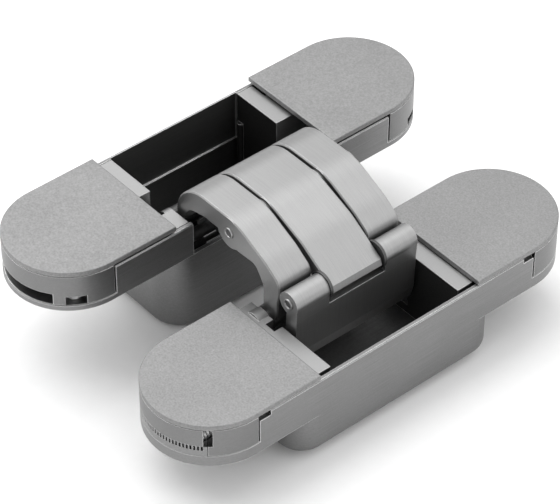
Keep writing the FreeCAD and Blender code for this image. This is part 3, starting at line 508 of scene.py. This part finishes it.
@dataclass(frozen=True)
class Thread:
    """A threaded rod with bevelled ends and a hexagon socket on top.

    Below it has a plain shank, or a second socket where the shank's length is zero. The bevel is
    how far the ends shrink, over a length of bevel_run.
    """

    radius: float
    pitch: float
    depth: float
    shank_radius: float = 0.0
    shank_length: float = 0.0
    socket_radius: float = 1.0
    socket_depth: float = 1.2
    bevel: float = 0.4
    bevel_run: float = 0.6
    around: int = 24
    rings_per_turn: int = 8

    def rings(self, start: float, end: float) -> np.ndarray:
        """Rings of the rod as radius and height over the angle.

        The radius is the outer radius less a triangle wave of height over pitch minus angle over a
        full turn, so the crest climbs one pitch each turn. At the ends it shrinks to a bevel,
        except above a shank. The upper end runs in to a hexagon and down into the socket, and so
        does the lower one where the rod has no shank. The hexagon's radius is that of its corners
        times the cosine of 30 degrees over the cosine of the angle from the flat's middle.

        Args:
            start: lower end of the thread along the rod.
            end: upper end along the rod.

        Returns:
            Array of shape (rings, points, 3) with the rod along its third axis.
        """
        angle = round_steps(self.around)
        count = int((end - start) / self.pitch * self.rings_per_turn) + 1
        height = np.linspace(start, end, count)[:, None]
        wave = np.abs(2 * ((height / self.pitch - angle / (2 * np.pi)) % 1.0) - 1)
        below = height - start if not self.shank_length else np.full_like(height, self.bevel_run)
        near_end = np.minimum(below, end - height) / self.bevel_run
        bevel = self.bevel * np.clip(1 - near_end, 0, 1)
        radius = self.radius - np.maximum(self.depth * wave, bevel)
        flat = math.pi / 6
        hexagon = self.socket_radius * math.cos(flat) / np.cos(angle % (2 * flat) - flat)
        high = [rod_ring(hexagon, angle, end), rod_ring(hexagon, angle, end - self.socket_depth)]
        if self.shank_length:
            low = [rod_ring(self.shank_radius, angle, start - self.shank_length),
                   rod_ring(self.shank_radius, angle, start)]
        else:
            low = [rod_ring(hexagon, angle, start + self.socket_depth),
                   rod_ring(hexagon, angle, start)]
        return np.concatenate([np.array(low), rod_ring(radius, angle, height), np.array(high)])


@dataclass
class AdjustingScrews:
    """Threaded screws in the wings: along the frame housing, upright in the door housing."""

    frame_x: float = 31.7
    frame_z: float = 18.8
    frame_reach: tuple[float, float] = (21.1, 50.9)
    frame_rod: Thread = Thread(radius=2.1, pitch=0.8, depth=0.4)
    door_x: float = -15.0
    door_y: float = 46.7
    door_reach: tuple[float, float] = (23.5, 30.7)
    door_rod: Thread = Thread(radius=2.0, pitch=1.0, depth=0.42, shank_radius=1.0,
                              shank_length=1.2)

    def build(self, finishes: dict[str, bpy.types.Material]) -> list[bpy.types.Object]:
        """Builds the four screws as threaded rods.

        Args:
            finishes: materials by piece.

        Returns:
            The pieces.
        """
        pieces = []
        for end, sign in ((End.NEAR, -1), (End.FAR, 1)):
            rod = self.frame_rod.rings(*self.frame_reach)
            lying = np.stack([rod[..., 0] + self.frame_x, sign * rod[..., 2],
                              rod[..., 1] + self.frame_z], -1)
            pieces.append(self.screw(Side.FRAME, end, lying, finishes["screw"]))
            rod = self.door_rod.rings(*self.door_reach)
            upright = rod + [self.door_x, sign * self.door_y, 0]
            pieces.append(self.screw(Side.DOOR, end, upright, finishes["screw"]))
        return pieces

    def screw(self, side: Side, end: End, rings: np.ndarray,
              material: bpy.types.Material) -> bpy.types.Object:
        """Makes one screw that takes the plain one's place and turns with it.

        Args:
            side: the body that carries it.
            end: the wing that it stands in.
            rings: its rings in mm.
            material: its finish.

        Returns:
            The object.
        """
        points, faces = loft(rings)
        node = f"{side.value}_screw_{end.value}"
        piece = mesh_piece(f"{side.value}_thread_{end.value}", points, faces, material)
        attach(piece, node)
        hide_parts(node)
        return piece


@dataclass(frozen=True)
class ShownPin:
    """A pin whose ends show: its node, the body that it turns with, and its middle."""

    node: str
    body: str
    x: float
    z: float


@dataclass
class PinEnds:
    """Raised rims round the pin ends that show on the arms and on the frame link's knuckles."""

    pins: tuple[ShownPin, ...] = (
        ShownPin("common_pin", "outer_arm", 2.4, 35.9),
        ShownPin("frame_link_upper_pin", "frame_link", 22.2, 29.1),
    )
    radius: float = 1.15
    wire: float = 0.22
    around: int = 48
    section: int = 12

    def rim(self) -> tuple[np.ndarray, np.ndarray]:
        """A torus round the Y axis, with its middle circle at zero.

        The distance from the axis is the circle's radius plus the wire's times the cosine of the
        angle round the wire; the place along the axis is the wire's radius times the sine.

        Returns:
            Vertices in mm and triangles, facing outwards.
        """
        turn, small = np.meshgrid(round_steps(self.around), round_steps(self.section),
                                  indexing="ij")
        out = self.radius + self.wire * np.cos(small)
        points = np.stack([out * np.cos(turn), self.wire * np.sin(small), out * np.sin(turn)], -1)
        points = points.reshape(-1, 3)
        return points, facing_out(points, grid_triangles(self.around, self.section, closed=True))

    def build(self, nodes: dict[str, bpy.types.Object],
              finishes: dict[str, bpy.types.Material]) -> list[bpy.types.Object]:
        """Builds one rim on each end of each pin, half sunk in the pin's end face.

        Args:
            nodes: the frame's objects by name, for the pins' real ends.
            finishes: materials by piece.

        Returns:
            The rims.
        """
        points, faces = self.rim()
        pieces = []
        for pin in self.pins:
            reach = [corner[1] / MM for corner in nodes[pin.node].bound_box]
            for end, y in ((End.NEAR, min(reach)), (End.FAR, max(reach))):
                piece = mesh_piece(f"{pin.node}_rim_{end.value}", points + [pin.x, y, pin.z],
                                   faces, finishes["rim"])
                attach(piece, pin.body)
                pieces.append(piece)
        return pieces


@dataclass
class Castings:
    """The pieces whose shape the frame carries; they only get their finish.

    Each kind pairs a word with a finish, and the first word found in a node's name decides. So a
    link's pin is a pin, and a plain screw is dressed too though a threaded one takes its place.
    """

    # The washers and the door link take the link finish, painted dark as shade.
    kinds: tuple[tuple[str, str], ...] = (
        ("cap", "cap"), ("teeth", "teeth"), ("block", "block"), ("screw", "screw"), ("pin", "pin"),
        ("washers", "link"), ("door_carrier", "door_carrier"), ("frame_carrier", "frame_carrier"),
        ("housing", "housing"), ("arm", "arm"), ("door_link", "link"), ("frame_link", "arm"),
    )

    def dress(self, nodes: dict[str, bpy.types.Object],
              finishes: dict[str, bpy.types.Material]) -> None:
        """Puts each node's finish on it.

        Args:
            nodes: the frame's objects by name.
            finishes: materials by piece.
        """
        for name, piece in nodes.items():
            kind = next(finish for word, finish in self.kinds if word in name)
            for slot in piece.material_slots:
                slot.material = finishes[kind]
            LOG.info("%s: %s", name, finishes[kind].name)


@dataclass(frozen=True)
class Panel:
    """A soft light that faces the hinge: centre, width and height in mm, and power in watts."""

    name: str
    place: tuple[float, float, float]
    width: float
    height: float
    watts: float

    def build(self) -> None:
        """Adds the panel, with its sides level."""
        data = bpy.data.lights.new(self.name, "AREA")
        data.shape = "RECTANGLE"
        data.size, data.size_y = self.width * MM, self.height * MM
        data.energy = self.watts
        back = np.array(self.place) / np.linalg.norm(self.place)
        side = np.cross([0, 0, 1], back)
        side = side / np.linalg.norm(side)
        stand(self.name, data, (side, np.cross(back, side), back), self.place)


@dataclass
class Studio:
    """Pale floor, soft lights and the camera of the photograph.

    The camera turns by its azimuth about Z and looks down by its elevation, both in degrees.
    """

    panels: tuple[Panel, ...] = (
        Panel("key_panel", (-700, -100, 1100), 1400, 1400, 16.5),
        Panel("fill_panel", (900, 550, 760), 1100, 1100, 4),
        Panel("overhead_panel", (50, 600, 1150), 800, 800, 3),
        Panel("front_panel", (-200, -1100, 600), 900, 600, 1),
    )
    sky_colour: str = "#f4f4f4"
    sky_strength: float = 0.72
    camera_place: tuple[float, float, float] = (365.4245, -308.9816, 450.1767)
    azimuth: float = 49.865
    elevation: float = 42.036
    lens: float = 186.18
    sensor: float = 36.0
    near_clip: float = 10.0
    far_clip: float = 20000.0
    floor_reach: float = 3000.0
    floor_level: float = -0.05
    floor_points: int = 13
    fibre: float = 3.0
    floor_tones: tuple[float, float] = (0.92, 0.95)
    floor_roughness: float = 0.9

    def floor(self) -> None:
        """A pale matt floor under the hinge, a square grid of points at one height."""
        count = self.floor_points
        reach = np.linspace(-self.floor_reach, self.floor_reach, count)
        x, y = np.meshgrid(reach, reach, indexing="ij")
        points = np.stack([x, y, self.floor_level + 0 * x], -1).reshape(-1, 3)
        row, column = np.meshgrid(np.arange(count - 1), np.arange(count - 1), indexing="ij")
        a = row * count + column
        faces = np.stack([a, a + count, a + count + 1, a + 1], -1).reshape(-1, 4)
        paper = bpy.data.materials.new("pale_matt_floor")
        tree = empty_tree(paper)
        place = add_node(tree, "TexCoord").outputs["Object"]
        fibre = add_node(tree, "TexNoise", {"Vector": place, "Scale": 1.0 / (self.fibre * MM),
                                            "Detail": 2.0})
        dark, pale = self.floor_tones
        tone = add_node(tree, "MapRange", {"Value": fibre.outputs["Fac"], "To Min": dark,
                                           "To Max": pale})
        shader = add_node(tree, "BsdfPrincipled", {"Base Color": tone.outputs[0],
                                                   "Roughness": self.floor_roughness})
        add_node(tree, "OutputMaterial", {"Surface": shader.outputs[0]})
        mesh_piece("pale_floor", points, faces, paper)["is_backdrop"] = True

    def sky(self) -> None:
        """An even pale light from all round, without a film curve so that the floor stays white."""
        world = bpy.data.worlds.new("soft_room")
        tree = empty_tree(world)
        glow = add_node(tree, "Background", {"Color": linear(self.sky_colour),
                                             "Strength": self.sky_strength})
        add_node(tree, "OutputWorld", {"Surface": glow.outputs[0]})
        bpy.context.scene.world = world
        bpy.context.scene.view_settings.view_transform = "Standard"

    def camera(self) -> None:
        """The photograph's view: a long lens, level, from above the frame side's near end."""
        az, el = math.radians(self.azimuth), math.radians(self.elevation)
        look = np.array([-math.sin(az) * math.cos(el), math.cos(az) * math.cos(el), -math.sin(el)])
        right = np.array([math.cos(az), math.sin(az), 0.0])
        data = bpy.data.cameras.new("photo_camera")
        data.lens = self.lens
        data.sensor_width = self.sensor
        data.clip_start, data.clip_end = self.near_clip * MM, self.far_clip * MM
        axes = (right, np.cross(right, look), -look)
        bpy.context.scene.camera = stand("photo_camera", data, axes, self.camera_place)

    def build(self) -> None:
        """Makes floor, lights, sky and camera."""
        self.floor()
        for panel in self.panels:
            panel.build()
        self.sky()
        self.camera()


def main() -> list[list[float]]:
    """Loads the frame, builds and dresses every piece.

    Returns:
        The frame's box straight after loading, as low and high corners.
    """
    logging.basicConfig(level=logging.INFO, format="%(name)s %(message)s")
    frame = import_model()
    box = [list(corner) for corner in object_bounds()]
    finishes = {key: finish.material() for key, finish in FINISHES.items()}
    Castings().dress(frame["nodes"], finishes)
    for piece in AdjustingScrews().build(finishes) + PinEnds().build(frame["nodes"], finishes):
        LOG.info("%s: %d faces", piece.name, len(piece.data.polygons))
    Studio().build()
    return box


if __name__ == "__main__":
    cad_box = main()
